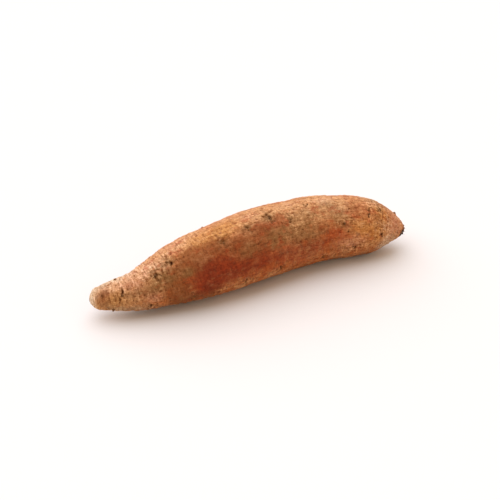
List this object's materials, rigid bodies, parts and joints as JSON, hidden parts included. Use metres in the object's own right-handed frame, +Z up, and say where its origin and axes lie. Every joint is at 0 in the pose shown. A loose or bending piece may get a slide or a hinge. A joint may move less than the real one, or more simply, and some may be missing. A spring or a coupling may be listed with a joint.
{
  "type": "sweet potato",
  "caption": "Whole sweet potato: a long storage root, tapered to a thin tail and slightly bent, with shallow eyes, broken rootlet stubs and a corky stem scar, lying on a small flat spot.",
  "frame": {"origin": "middle of the footprint box, on the surface that the root lies on", "axes": "+X along the root from the thin tail to the stem end, +Y to the side that the bend bulges towards, +Z up"},
  "size_m": [0.2314, 0.058, 0.0481],
  "materials": {
    "skin": "matte to satin root skin, mottled copper orange and dusty tan, dark brown in the eyes and at the stem scar"
  },
  "bodies": {
    "root": {"sweet_potato": "skin"}
  },
  "joints": []
}
